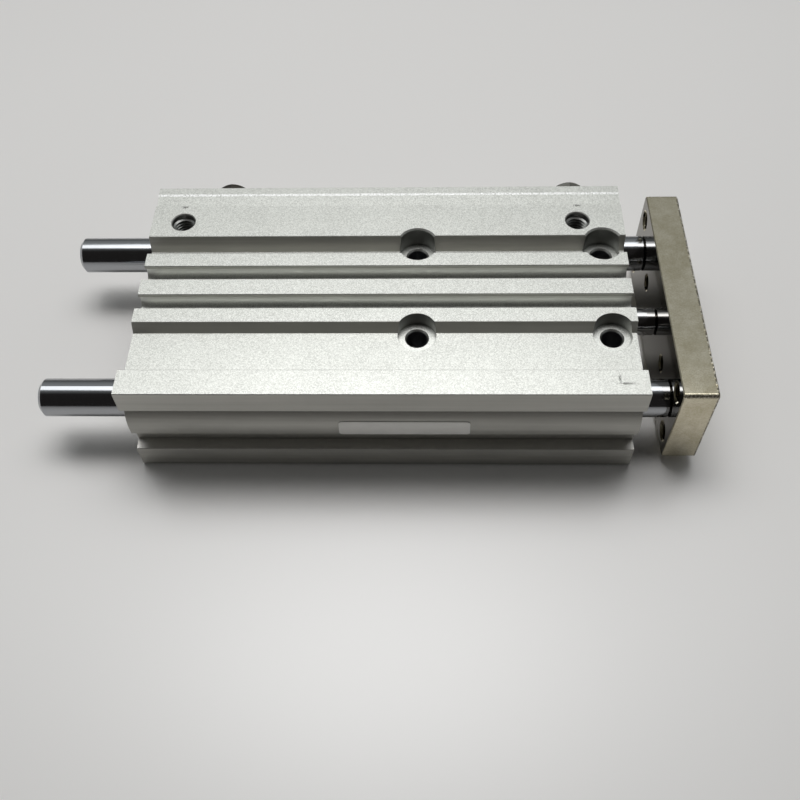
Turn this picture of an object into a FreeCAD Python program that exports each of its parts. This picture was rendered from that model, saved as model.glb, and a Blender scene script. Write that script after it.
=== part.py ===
import FreeCAD, Part
import math
import os

# Compact guided pneumatic cylinder: one piston between two guide rods in plain bearings.
# X runs along the stroke, from the rear end face of the body (X = 0) towards the plate.
# Y = 0 is the middle plane between the guide rods, and the ports are on the +Y side.
# Z = 0 is the flat mounting face underneath. All lengths are in millimetres.

Vector = FreeCAD.Vector

# Cylinder
bore_diameter = 12.0
stroke = 75.0
piston_rod_diameter = 6.0
guide_rod_diameter = 8.0
guide_rod_spacing = 41.0
rod_tail = 19.5                  # guide rods behind the body with the rods drawn in
plate_gap = 6.6                  # body to plate with the rods drawn in

# Clearances, all measured on the radius
running_clearance = 0.04         # rods in their bearings and seals, piston in its bore
seat_clearance = 0.02            # bushes, covers and plugs in their seats
thread_clearance = 0.03          # screws in their threaded holes
stop_gap = 0.1                   # piston to bumper at either end of the stroke
groove_play = 0.05               # sideways, on each side of a ring in its groove

# Chamber and its two covers
piston_length = 10.8
bumper_thickness = 1.0
bumper_radius = 4.6
head_cover_depth = 6.5           # rear end face of the body to the chamber
rod_cover_depth = 9.5            # chamber to the front end face of the body
cover_seat_step = 0.9            # seats of the covers are this much wider than the bore
ring_groove_depth = 0.4
ring_thickness = 0.8
ring_setback = 1.3               # end face of the body to the retaining ring
ring_width = 1.1
ring_gap_angle = 76.0
ring_ear_radius = 1.15
ring_ear_hole = 0.5
ring_ear_turn = 4.6              # ears sit this many degrees past the edges of the gap
spigot_length = 0.5
cover_land = 1.6                 # outer face of the rod cover to its gasket groove
cover_groove_width = 1.2
cover_chamfer = 0.3
gasket_cord = 0.9
head_cover_dish_radius = 2.2
head_cover_dish_depth = 0.8

# Body section
rod_to_side = 8.5                # guide rod axis to the side face
body_height = 26.0
bottom_edge_radius = 0.8
edge_break = 0.12                # flat break of the small edges
near_band_width = 6.0
low_face_drop = 3.7              # sunk faces beside the ridges, below the top face
low_wall_draft = 1.1             # foot of each wall beside the sunk faces, out from its top
ridge_drop = 1.3                 # ridges in the middle, below the top face
middle_ridge_width = 4.4
outer_ridge_width = 3.8
sensor_slot_opening = 3.7
sensor_slot_width = 5.2
sensor_slot_lip = 0.9
sensor_slot_corner = 0.5
sensor_slot_round = 2.0          # rounding of the floor, where the slot is deep enough
sensor_slot_floor_wall = 0.6     # left between a sensor slot and the ring grooves
channel_width = 3.8              # at the top, between the far ridge and the face with the ports
far_strip_width = 2.3
far_groove_width = 3.6
far_groove_depth = 0.85          # at its inner wall; the floor runs out at the outer edge
side_ledge_height = 6.35         # ledge along the lower edge of the side recess
side_ledge_depth = 2.6
side_recess_drop = 5.7           # top face to the upper edge of the side recess
side_recess_slope = 1.1
rounded_wall_radius = 10.0       # wall over the near guide rod, inside the side recess
rounded_wall_setback = 0.6
rounded_wall_drop = 2.0          # guide rod axis to the lower edge of the rounded wall

# Bearings, wipers and their holders
rod_bore_step = 1.0              # bores for the bushes are this much wider than the rods
bush_length = 11.0
bush_setback = 0.5
bush_chamfer = 0.3
felt_length = 1.8
holder_length = 1.4
holder_setback = 0.6
holder_chamfer = 0.3

# Mounting holes in the body
mounting_hole_diameter = 4.3
mounting_counterbore_diameter = 8.0
mounting_counterbore_depth = 4.6
mounting_thread_diameter = 5.0
mounting_thread_depth = 10.0
mounting_hole_setback = 5.0      # front end face of the body to the first pair of holes
mounting_pitch_x = 40.0
mounting_pitch_y = 23.0
dowel_diameter = 3.0
dowel_depth = 6.0
dowel_slot_travel = 0.5
rear_thread_diameter = 4.0
rear_thread_depth = 10.0
rear_thread_edge = 3.5           # thread axes to the nearest faces of the body
hole_chamfer = 0.35

# Air ports and passages
port_diameter = 5.0
port_chamfer = 0.25
top_port_y = 18.0
port_overlap = 0.5               # port axis past the end of the chamber
port_floor_wall = 0.9            # left between a top port and the bore of the guide rod
side_port_x = 15.3
side_port_rise = 5.0             # side ports above the axis
passage_diameter = 1.6
passage_ball_diameter = 2.0
passage_ball_depth = 2.6
plug_head_width = 8.0
plug_head_length = 5.0
plug_head_chamfer = 0.8
plug_socket_gap = 0.4            # plug tip to the floor of its port
plug_gasket_radius = 4.0
plug_gasket_thickness = 0.8

# Rod end of the piston and its seals
piston_clearance = 0.06
piston_spigot_diameter = 4.0
piston_seal_width = 2.2
piston_seal_depth = 1.5
piston_seal_lip = 0.4
magnet_width = 2.6
magnet_depth = 1.7
magnet_setback = 0.2             # magnet below the skin of the piston
rod_seal_setback = 1.0
rod_seal_radius = 4.8
rod_seal_length = 2.6
rod_seal_lip = 1.2
rod_guard = 0.3                  # rod to the hole of the front bumper

# Plate and its screws
plate_side_margin = 7.5          # guide rod axis to the side of the plate
plate_height = 22.0
plate_thickness = 7.0
plate_corner_radius = 0.8
plate_edge_chamfer = 0.2
plate_thread_diameter = 4.0
plate_thread_shift = 3.5         # threads outside the guide rod axes
plate_pitch_z = 14.0
plate_hole_diameter = 3.4
plate_hole_pitch = 23.0
rod_tip_chamfer = 0.7
rod_front_chamfer = 0.3
guide_bolt_diameter = 5.0
guide_bolt_length = 12.0
guide_bolt_key = 4.0
plate_bolt_diameter = 4.0
plate_bolt_length = 10.0
plate_bolt_key = 3.0
bolt_chamfer = 0.4
bolt_head_play = 0.35
bolt_hole_play = 0.25
tapped_spare = 1.5               # threaded holes run this much past the screw tips

# Places that follow from the sizes above
chamber_start = head_cover_depth
chamber_end = chamber_start + stroke + piston_length + 2 * (bumper_thickness + stop_gap)
body_length = chamber_end + rod_cover_depth
body_width = guide_rod_spacing + 2 * rod_to_side
plate_width = guide_rod_spacing + 2 * plate_side_margin
axis_height = body_height / 2
plate_start = body_length + plate_gap
plate_end = plate_start + plate_thickness
guide_y = guide_rod_spacing / 2
seat_radius = bore_diameter / 2 + cover_seat_step
ring_groove_radius = seat_radius + ring_groove_depth
rod_bore_radius = guide_rod_diameter / 2 + rod_bore_step
piston_start = chamber_start + bumper_thickness + stop_gap
piston_end = piston_start + piston_length
rear_port_x = chamber_start + port_overlap
front_port_x = chamber_end - port_overlap
port_floor = axis_height + rod_bore_radius + port_floor_wall
passage_height = port_floor + passage_diameter / 4
side_port_floor = guide_y + rod_bore_radius
side_port_height = axis_height + side_port_rise


def bar(radius, start, end, y=0.0, z=axis_height):
    """Round bar along X."""
    return Part.makeCylinder(radius, end - start, Vector(start, y, z), Vector(1, 0, 0))


def upright(radius, bottom, top, x, y):
    """Round bar along Z."""
    return Part.makeCylinder(radius, top - bottom, Vector(x, y, bottom), Vector(0, 0, 1))


def rod_between(radius, start, end):
    """Round bar from one point to another."""
    return Part.makeCylinder(radius, (end - start).Length, start, end - start)


def cone_mouth(radius, depth, place, direction):
    """Cone that chamfers the mouth of a hole; direction points into the hole."""
    return Part.makeCone(radius + depth, radius, depth, place, direction)


def turned(outline, y=0.0, z=axis_height):
    """Solid turned about an axis along X from points (x, radius)."""
    points = [Vector(x, 0, radius) for x, radius in outline]
    face = Part.Face(Part.makePolygon(points + points[:1]))
    solid = face.revolve(Vector(0, 0, 0), Vector(1, 0, 0), 360)
    solid.translate(Vector(0, y, z))
    return solid


def block(start, end):
    """Block between two corners."""
    size = end - start
    return Part.makeBox(size.x, size.y, size.z, start)


def hex_prism(across_flats, place, direction, up, length):
    """Hexagonal prism with one corner towards up."""
    corner = across_flats / math.sqrt(3)
    points = []
    for step in range(7):
        turn = FreeCAD.Rotation(direction, 60.0 * step)
        points.append(place + turn.multVec(up) * corner)
    return Part.Face(Part.makePolygon(points)).extrude(direction * length)


def rounded_face(corners, x=0.0):
    """Flat face across X; a corner (y, z, radius) is rounded, or cut flat at edge_break or less."""
    points = [Vector(x, y, z) for y, z, radius in corners]
    arcs = []
    for number, corner in enumerate(points):
        before = (points[number - 1] - corner).normalize()
        after = (points[(number + 1) % len(points)] - corner).normalize()
        radius = corners[number][2]
        half_turn = before.getAngle(after) / 2
        reach = radius / math.tan(half_turn)
        middle = (before + after).normalize() * (radius / math.sin(half_turn) - radius)
        arcs.append((corner + before * reach, corner + middle, corner + after * reach))
    edges = []
    for number, (start, middle, end) in enumerate(arcs):
        following = arcs[(number + 1) % len(arcs)][0]
        if corners[number][2] > edge_break:
            edges.append(Part.Arc(start, middle, end).toShape())
        elif corners[number][2] > 0:
            edges.append(Part.LineSegment(start, end).toShape())
        if (following - end).Length > 0.001:
            edges.append(Part.LineSegment(end, following).toShape())
    return Part.Face(Part.Wire(edges))


def sensor_slot_corners(centre, ridge, floor):
    """Corners of one sensor slot in the top of the body, from +Y to -Y."""
    mouth = sensor_slot_opening / 2
    half = sensor_slot_width / 2
    ceiling = ridge - sensor_slot_lip
    depth = ceiling - floor
    round_floor = min(sensor_slot_round, depth * 0.7)
    corner = min(sensor_slot_corner, depth / 4)
    return [
        (centre + mouth, ridge, edge_break),
        (centre + mouth, ceiling, edge_break),
        (centre + half, ceiling, corner),
        (centre + half, floor, round_floor),
        (centre - half, floor, round_floor),
        (centre - half, ceiling, corner),
        (centre - mouth, ceiling, edge_break),
        (centre - mouth, ridge, edge_break),
    ]


def body_section():
    """Outline of the extrusion, without the bores."""
    side = body_width / 2
    ridge = body_height - ridge_drop
    low = body_height - low_face_drop
    groove = body_height - far_groove_depth
    floor = axis_height + ring_groove_radius + sensor_slot_floor_wall
    slot_y = (middle_ridge_width + sensor_slot_opening) / 2
    ridge_edge = middle_ridge_width / 2 + sensor_slot_opening + outer_ridge_width
    channel_edge = ridge_edge + channel_width
    band_edge = side - near_band_width
    strip_edge = side - far_strip_width
    groove_edge = strip_edge - far_groove_width
    recess_floor = side - side_ledge_depth
    recess_edge = body_height - side_recess_drop
    corners = [
        (-side, 0, bottom_edge_radius),
        (side, 0, bottom_edge_radius),
        (side, body_height, edge_break),
        (strip_edge, body_height, edge_break),
        (groove_edge, groove, edge_break),
        (groove_edge, body_height, edge_break),
        (channel_edge, body_height, edge_break),
        (channel_edge - low_wall_draft, low, 0),
        (ridge_edge + low_wall_draft, low, 0),
        (ridge_edge, ridge, edge_break),
    ]
    corners += sensor_slot_corners(slot_y, ridge, floor)
    corners += sensor_slot_corners(-slot_y, ridge, floor)
    corners += [
        (-ridge_edge, ridge, edge_break),
        (-ridge_edge - low_wall_draft, low, 0),
        (-band_edge + low_wall_draft, low, 0),
        (-band_edge, body_height, edge_break),
        (-side, body_height, edge_break),
        (-side, recess_edge, edge_break),
        (-recess_floor, recess_edge - side_recess_slope, edge_break),
        (-recess_floor, side_ledge_height, 0),
        (-side, side_ledge_height, edge_break),
    ]
    return rounded_face(corners)


def rounded_wall():
    """Rounded wall over the near guide rod, inside the upper part of the side recess."""
    side = body_width / 2
    recess_top = body_height - side_recess_drop - side_recess_slope
    wall_y = -(side - rounded_wall_setback - rounded_wall_radius)
    wall = bar(rounded_wall_radius, 0, body_length, wall_y)
    wall_foot = axis_height - rounded_wall_drop
    keep = block(Vector(0, -side, wall_foot), Vector(body_length, wall_y, recess_top))
    return wall.common(keep)


def bore_cuts():
    """Piston bore with its two cover seats and ring grooves, and the two rod bores."""
    cuts = [bar(bore_diameter / 2, 0, body_length)]
    cuts.append(bar(seat_radius, 0, chamber_start - spigot_length))
    cuts.append(bar(seat_radius, chamber_end + spigot_length, body_length))
    front_ring = body_length - ring_setback - ring_thickness
    for start in (ring_setback, front_ring):
        cuts.append(bar(ring_groove_radius, start - groove_play,
                        start + ring_thickness + groove_play))
    for y in (-guide_y, guide_y):
        cuts.append(bar(rod_bore_radius, 0, body_length, y))
    return cuts


def mounting_holes():
    """Counterbored through holes with threads from below, and the two dowel holes."""
    cuts = []
    first = body_length - mounting_hole_setback
    seat = body_height - mounting_counterbore_depth
    for x in (first, first - mounting_pitch_x):
        for y in (-mounting_pitch_y / 2, mounting_pitch_y / 2):
            cuts.append(upright(mounting_hole_diameter / 2, 0, body_height, x, y))
            cuts.append(upright(mounting_thread_diameter / 2, 0, mounting_thread_depth, x, y))
            cuts.append(upright(mounting_counterbore_diameter / 2, seat, body_height, x, y))
            cuts.append(cone_mouth(mounting_hole_diameter / 2, hole_chamfer,
                                   Vector(x, y, seat), Vector(0, 0, -1)))
            cuts.append(cone_mouth(mounting_thread_diameter / 2, hole_chamfer,
                                   Vector(x, y, 0), Vector(0, 0, 1)))
            cuts.append(cone_mouth(mounting_counterbore_diameter / 2, hole_chamfer,
                                   Vector(x, y, body_height), Vector(0, 0, -1)))
    middle = first - mounting_pitch_x / 2
    for y, travel in ((-mounting_pitch_y / 2, 0), (mounting_pitch_y / 2, dowel_slot_travel)):
        for shift in (-travel / 2, travel / 2):
            cuts.append(upright(dowel_diameter / 2, 0, dowel_depth, middle, y + shift))
        if travel:
            half = dowel_diameter / 2
            cuts.append(block(Vector(middle - half, y - travel / 2, 0),
                              Vector(middle + half, y + travel / 2, dowel_depth)))
    return cuts


def rear_threads():
    """Four threaded holes in the rear end face."""
    cuts = []
    reach = body_width / 2 - rear_thread_edge
    for y in (-reach, reach):
        for z in (rear_thread_edge, body_height - rear_thread_edge):
            cuts.append(bar(rear_thread_diameter / 2, 0, rear_thread_depth, y, z))
            cuts.append(cone_mouth(rear_thread_diameter / 2, hole_chamfer,
                                   Vector(0, y, z), Vector(1, 0, 0)))
    return cuts


def port_cuts():
    """Top and side ports, and the drilled passages that join them to the chamber."""
    cuts = []
    side = body_width / 2
    radius = port_diameter / 2
    bore_side = axis_height + bore_diameter / 4
    for x, side_x in ((rear_port_x, side_port_x), (front_port_x, front_port_x)):
        cuts.append(upright(radius, port_floor, body_height, x, top_port_y))
        cuts.append(cone_mouth(radius, port_chamfer, Vector(x, top_port_y, body_height),
                               Vector(0, 0, -1)))
        cuts.append(Part.makeCylinder(radius, side - side_port_floor,
                                      Vector(side_x, side_port_floor, side_port_height),
                                      Vector(0, 1, 0)))
        cuts.append(cone_mouth(radius, port_chamfer, Vector(side_x, side, side_port_height),
                               Vector(0, -1, 0)))
        cuts.append(rod_between(passage_diameter / 2,
                                Vector(side_x, top_port_y, passage_height),
                                Vector(side_x, side_port_floor + port_overlap, passage_height)))
        cuts.append(rod_between(passage_diameter / 2,
                                Vector(x, top_port_y, passage_height),
                                Vector(x, bore_diameter / 4, bore_side)))
    cuts.append(bar(passage_diameter / 2, 0, side_port_x, top_port_y, passage_height))
    cuts.append(bar(passage_ball_diameter / 2, 0, passage_ball_depth, top_port_y, passage_height))
    return cuts


def body_extrusion():
    """Extruded body with everything that is machined into it."""
    extrusion = body_section().extrude(Vector(body_length, 0, 0))
    body = extrusion.fuse(rounded_wall())
    cuts = bore_cuts() + mounting_holes() + rear_threads() + port_cuts()
    return body.cut(cuts)


def rod_cover():
    """Cover at the front with the rod seal, a gasket groove and a spigot in the bore."""
    inner = piston_rod_diameter / 2 + running_clearance
    seat = seat_radius - seat_clearance
    face = chamber_end + spigot_length
    back = body_length - ring_setback - ring_thickness
    groove = back - cover_land - cover_groove_width
    groove_floor = seat - gasket_cord - seat_clearance
    cover = turned([
        (chamber_end, inner), (chamber_end, bore_diameter / 2 - seat_clearance),
        (face, bore_diameter / 2 - seat_clearance), (face, seat), (groove, seat),
        (groove, groove_floor), (groove + cover_groove_width, groove_floor),
        (groove + cover_groove_width, seat), (back - cover_chamfer, seat),
        (back, seat - cover_chamfer), (back, inner),
    ])
    seal_start = face + rod_seal_setback
    pocket = bar(rod_seal_radius, seal_start, seal_start + rod_seal_length)
    return cover.cut(pocket), groove + cover_groove_width / 2, seal_start


def rod_seal(start):
    """Lip seal round the piston rod, with its groove towards the chamber."""
    inner = piston_rod_diameter / 2 + running_clearance
    outer = rod_seal_radius - seat_clearance
    lips = start + groove_play
    end = start + rod_seal_length - groove_play
    wall = (outer - inner) / 3
    return turned([
        (lips, inner), (lips, inner + wall), (lips + rod_seal_lip, inner + wall),
        (lips + rod_seal_lip, outer - wall), (lips, outer - wall), (lips, outer),
        (end, outer), (end, inner),
    ])


def head_cover():
    """Plain cover at the rear, held by a retaining ring."""
    seat = seat_radius - seat_clearance
    back = ring_setback + ring_thickness
    face = chamber_start - spigot_length
    groove = (back + face - cover_groove_width) / 2
    groove_floor = seat - gasket_cord - seat_clearance
    cover = turned([
        (back, head_cover_dish_radius), (back + head_cover_dish_depth, head_cover_dish_radius),
        (back + head_cover_dish_depth, 0), (chamber_start, 0),
        (chamber_start, bore_diameter / 2 - seat_clearance),
        (face, bore_diameter / 2 - seat_clearance), (face, seat),
        (groove + cover_groove_width, seat), (groove + cover_groove_width, groove_floor),
        (groove, groove_floor), (groove, seat), (back + cover_chamfer, seat),
        (back, seat - cover_chamfer),
    ])
    return cover, groove + cover_groove_width / 2


def cover_gasket(x):
    """Cord ring in the groove of a cover, with an eight-sided section."""
    cord = gasket_cord / 2
    middle = seat_radius - seat_clearance - cord
    reach = cord / math.cos(math.pi / 8)
    angles = [math.pi / 8 + step * math.pi / 4 for step in range(8)]
    return turned([(x + reach * math.cos(angle), middle + reach * math.sin(angle))
                   for angle in angles])


def retaining_ring(start):
    """Internal spring ring: an open ring with two eared ends for the pliers."""
    outer = ring_groove_radius - seat_clearance
    end = start + ring_thickness
    ring = bar(outer, start, end).cut(bar(outer - ring_width, start, end))
    half_gap = math.radians(ring_gap_angle / 2)
    reach = outer * 2
    edge = reach * math.tan(half_gap)
    wedge = Part.makePolygon([
        Vector(start, 0, axis_height), Vector(start, edge, axis_height - reach),
        Vector(start, -edge, axis_height - reach), Vector(start, 0, axis_height),
    ])
    ring = ring.cut(Part.Face(wedge).extrude(Vector(ring_thickness, 0, 0)))
    middle = outer - ring_width - ring_ear_radius / 2
    ears = []
    holes = []
    ear_angle = half_gap + math.radians(ring_ear_turn)
    for side in (-1, 1):
        y = side * middle * math.sin(ear_angle)
        z = axis_height - middle * math.cos(ear_angle)
        ears.append(bar(ring_ear_radius, start, end, y, z))
        holes.append(bar(ring_ear_hole, start, end, y, z))
    return ring.fuse(ears).cut(holes)


def bumper(start, inner):
    """Flat cushion washer on the face of a cover."""
    washer = bar(bumper_radius, start, start + bumper_thickness)
    if inner:
        washer = washer.cut(bar(inner, start, start + bumper_thickness))
    return washer


def slide_bearing(start, y):
    """Plain bush for a guide rod, chamfered inside at both ends."""
    inner = guide_rod_diameter / 2 + running_clearance
    outer = rod_bore_radius - seat_clearance
    end = start + bush_length
    return turned([
        (start, inner + bush_chamfer), (start, outer), (end, outer),
        (end, inner + bush_chamfer), (end - bush_chamfer, inner), (start + bush_chamfer, inner),
    ], y)


def rod_wiper(start, end, y):
    """Ring between a guide rod and the bore of the body."""
    inner = guide_rod_diameter / 2 + running_clearance
    outer = rod_bore_radius - seat_clearance
    return bar(outer, start, end, y).cut(bar(inner, start, end, y))


def felt_holder(start, end, y):
    """Stepped plastic ring that keeps the felt in at the front."""
    inner = guide_rod_diameter / 2 + running_clearance
    outer = rod_bore_radius - seat_clearance
    return turned([
        (start, inner), (start, outer), (end - holder_chamfer, outer),
        (end, outer - holder_chamfer), (end, inner),
    ], y)


def port_plug(x):
    """Hexagon plug screwed into a side port, chamfered at its outer end."""
    side = body_width / 2
    head_start = side + plug_gasket_thickness
    head_end = head_start + plug_head_length
    out = Vector(0, 1, 0)
    head = hex_prism(plug_head_width, Vector(x, head_start, side_port_height), out,
                     Vector(0, 0, 1), plug_head_length)
    corner = plug_head_width / math.sqrt(3)
    dome = Part.makeCone(corner + plug_head_length - plug_head_chamfer, corner - plug_head_chamfer,
                         plug_head_length, Vector(x, head_start, side_port_height), out)
    tip = side_port_floor + plug_socket_gap
    shank = Part.makeCylinder(port_diameter / 2 - thread_clearance, head_start - tip,
                              Vector(x, tip, side_port_height), out)
    return head.common(dome).fuse(shank)


def plug_gasket(x):
    """Flat gasket under the head of a port plug."""
    side = body_width / 2
    place = Vector(x, side, side_port_height)
    out = Vector(0, 1, 0)
    ring = Part.makeCylinder(plug_gasket_radius, plug_gasket_thickness, place, out)
    hole = port_diameter / 2 + port_chamfer + thread_clearance
    return ring.cut(Part.makeCylinder(hole, plug_gasket_thickness, place, out))


def passage_ball():
    """Steel ball that closes the drilled passage in the rear end face."""
    radius = passage_ball_diameter / 2 - seat_clearance
    place = Vector(passage_ball_depth - radius - groove_play, top_port_y, passage_height)
    return Part.makeSphere(radius, place)


def piston():
    """Piston with grooves for its seal and magnet, and a hole for the rod's spigot."""
    outer = bore_diameter / 2 - piston_clearance
    seal_start, magnet_start = piston_groove_places()
    body = bar(outer, piston_start, piston_end)
    body = body.cut(bar(piston_spigot_diameter / 2, piston_start, piston_end))
    for start, width, depth in (
        (seal_start, piston_seal_width, piston_seal_depth),
        (magnet_start, magnet_width, magnet_depth),
    ):
        ring = bar(bore_diameter, start, start + width).cut(
            bar(outer - depth, start, start + width))
        body = body.cut(ring)
    return body


def piston_groove_places():
    """Starts of the seal groove and the magnet groove along the piston."""
    land = (piston_length - piston_seal_width - magnet_width) / 3
    return piston_start + 2 * land + magnet_width, piston_start + land


def piston_seal():
    """Two-lipped seal in the front groove of the piston."""
    outer = bore_diameter / 2 - running_clearance
    inner = outer - piston_seal_depth + groove_play
    start = piston_groove_places()[0] + groove_play
    end = start + piston_seal_width - 2 * groove_play
    return turned([
        (start, inner), (start, outer), (start + piston_seal_lip, outer),
        ((start + end) / 2, outer - piston_seal_lip), (end - piston_seal_lip, outer),
        (end, outer), (end, inner),
    ])


def piston_magnet():
    """Ring magnet in the rear groove of the piston."""
    outer = bore_diameter / 2 - piston_clearance - magnet_setback
    inner = bore_diameter / 2 - magnet_depth
    start = piston_groove_places()[1] + groove_play
    end = start + magnet_width - 2 * groove_play
    return bar(outer, start, end).cut(bar(inner, start, end))


def piston_rod():
    """Rod from the piston to the plate, with a spigot in the piston and a threaded end."""
    radius = piston_rod_diameter / 2
    spigot = piston_spigot_diameter / 2 - seat_clearance
    rod = turned([
        (piston_start, 0), (piston_start, spigot), (piston_end, spigot), (piston_end, radius),
        (plate_start - rod_front_chamfer, radius), (plate_start, radius - rod_front_chamfer),
        (plate_start, 0),
    ])
    depth = plate_bolt_length - plate_floor(plate_bolt_diameter) + tapped_spare
    return rod.cut(bar(plate_bolt_diameter / 2, plate_start - depth, plate_start))


def guide_rod(y):
    """Guide rod through the body, chamfered at both ends and threaded at the front."""
    radius = guide_rod_diameter / 2
    rod = turned([
        (-rod_tail, 0), (-rod_tail, radius - rod_tip_chamfer),
        (-rod_tail + rod_tip_chamfer, radius), (plate_start - rod_front_chamfer, radius),
        (plate_start, radius - rod_front_chamfer), (plate_start, 0),
    ], y)
    depth = guide_bolt_length - plate_floor(guide_bolt_diameter) + tapped_spare
    return rod.cut(bar(guide_bolt_diameter / 2, plate_start - depth, plate_start, y))


def bolt_head_radius(diameter):
    """Head radius of a socket head cap screw."""
    return (diameter * 1.5 + 1) / 2


def plate_floor(diameter):
    """Thickness of the plate under a recessed screw head."""
    return plate_thickness - diameter - bolt_head_play


def plate():
    """Plate on the ends of the three rods, with recessed screws and threaded holes."""
    half_width = plate_width / 2
    low = axis_height - plate_height / 2
    high = axis_height + plate_height / 2
    corners = [(-half_width, low), (half_width, low), (half_width, high), (-half_width, high)]
    outline = rounded_face([(y, z, plate_corner_radius) for y, z in corners], plate_start)
    blank = outline.extrude(Vector(plate_thickness, 0, 0))
    rims = [edge for edge in blank.Edges
            if abs(edge.CenterOfMass.x - plate_start) < 0.01
            or abs(edge.CenterOfMass.x - plate_end) < 0.01]
    blank = blank.makeChamfer(plate_edge_chamfer, rims)
    cuts = []
    screws = ((0, plate_bolt_diameter), (-guide_y, guide_bolt_diameter),
              (guide_y, guide_bolt_diameter))
    for y, diameter in screws:
        head = bolt_head_radius(diameter) + bolt_head_play
        seat = plate_start + plate_floor(diameter)
        cuts.append(bar(head, seat, plate_end, y))
        cuts.append(bar(diameter / 2 + bolt_hole_play, plate_start, plate_end, y))
        cuts.append(cone_mouth(head, hole_chamfer, Vector(plate_end, y, axis_height),
                               Vector(-1, 0, 0)))
    thread_y = guide_y + plate_thread_shift
    tapped = [(y, z) for y in (-thread_y, thread_y)
              for z in (axis_height - plate_pitch_z / 2, axis_height + plate_pitch_z / 2)]
    plain = [(y, axis_height) for y in (-plate_hole_pitch / 2, plate_hole_pitch / 2)]
    for places, diameter in ((tapped, plate_thread_diameter), (plain, plate_hole_diameter)):
        for y, z in places:
            cuts.append(bar(diameter / 2, plate_start, plate_end, y, z))
            cuts.append(cone_mouth(diameter / 2, hole_chamfer, Vector(plate_start, y, z),
                                   Vector(1, 0, 0)))
            cuts.append(cone_mouth(diameter / 2, hole_chamfer, Vector(plate_end, y, z),
                                   Vector(-1, 0, 0)))
    return blank.cut(cuts)


def cap_screw(diameter, length, key_width, y):
    """Socket head cap screw in the plate, driven from the front."""
    seat = plate_start + plate_floor(diameter)
    shank = diameter / 2 - thread_clearance
    head = bolt_head_radius(diameter)
    top = seat + diameter
    screw = turned([
        (seat - length, 0), (seat - length, shank - bolt_chamfer),
        (seat - length + bolt_chamfer, shank), (seat, shank), (seat, head),
        (top - bolt_chamfer, head), (top, head - bolt_chamfer), (top, 0),
    ], y)
    socket = hex_prism(key_width, Vector(top, y, axis_height), Vector(-1, 0, 0),
                       Vector(0, 0, 1), diameter / 2)
    return screw.cut(socket)


def build():
    """All the pieces by name."""
    front_cover, front_gasket_x, seal_start = rod_cover()
    rear_cover, rear_gasket_x = head_cover()
    pieces = {
        "body_extrusion": body_extrusion(),
        "rod_cover": front_cover,
        "rod_cover_ring": retaining_ring(body_length - ring_setback - ring_thickness),
        "rod_cover_gasket": cover_gasket(front_gasket_x),
        "rod_seal": rod_seal(seal_start),
        "front_bumper": bumper(chamber_end - bumper_thickness,
                               piston_rod_diameter / 2 + rod_guard),
        "head_cover": rear_cover,
        "head_cover_ring": retaining_ring(ring_setback),
        "head_cover_gasket": cover_gasket(rear_gasket_x),
        "rear_bumper": bumper(chamber_start, 0),
        "passage_ball": passage_ball(),
        "port_plug_rear": port_plug(side_port_x),
        "port_plug_front": port_plug(front_port_x),
        "plug_gasket_rear": plug_gasket(side_port_x),
        "plug_gasket_front": plug_gasket(front_port_x),
        "plate": plate(),
        "piston": piston(),
        "piston_seal": piston_seal(),
        "piston_magnet": piston_magnet(),
        "piston_rod": piston_rod(),
        "plate_bolt": cap_screw(plate_bolt_diameter, plate_bolt_length, plate_bolt_key, 0),
    }
    holder_end = body_length - holder_setback
    felt_end = holder_end - holder_length
    bush_end = felt_end - felt_length
    for side, y in (("near", -guide_y), ("far", guide_y)):
        pieces["slide_bearing_rear_" + side] = slide_bearing(bush_setback, y)
        pieces["slide_bearing_front_" + side] = slide_bearing(bush_end - bush_length, y)
        pieces["felt_wiper_" + side] = rod_wiper(felt_end - felt_length, felt_end, y)
        pieces["felt_holder_" + side] = felt_holder(felt_end, holder_end, y)
        pieces["guide_rod_" + side] = guide_rod(y)
        pieces["guide_bolt_" + side] = cap_screw(guide_bolt_diameter, guide_bolt_length,
                                                 guide_bolt_key, y)
    return pieces


os.makedirs("parts", exist_ok=True)
for name, shape in build().items():
    shape.exportStep("parts/" + name + ".step")
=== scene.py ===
import bpy
import math
from mathutils import Matrix, Vector


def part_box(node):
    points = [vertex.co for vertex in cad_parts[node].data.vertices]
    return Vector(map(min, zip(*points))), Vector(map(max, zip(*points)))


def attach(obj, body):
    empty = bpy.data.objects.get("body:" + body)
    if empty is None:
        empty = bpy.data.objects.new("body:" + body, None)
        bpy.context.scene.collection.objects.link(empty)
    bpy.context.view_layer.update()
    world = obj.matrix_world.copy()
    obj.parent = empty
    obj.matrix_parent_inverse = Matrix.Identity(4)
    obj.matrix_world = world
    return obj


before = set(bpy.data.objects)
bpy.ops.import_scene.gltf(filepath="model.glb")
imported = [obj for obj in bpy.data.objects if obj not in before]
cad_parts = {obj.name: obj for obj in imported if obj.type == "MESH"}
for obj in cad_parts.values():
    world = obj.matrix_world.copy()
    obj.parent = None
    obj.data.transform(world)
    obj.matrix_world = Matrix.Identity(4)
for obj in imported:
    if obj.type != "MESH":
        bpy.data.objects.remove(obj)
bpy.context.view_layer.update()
body_low, body_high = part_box("body_extrusion")
plate_low, plate_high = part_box("plate")
axis_height = (body_low.z + body_high.z) / 2

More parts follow.
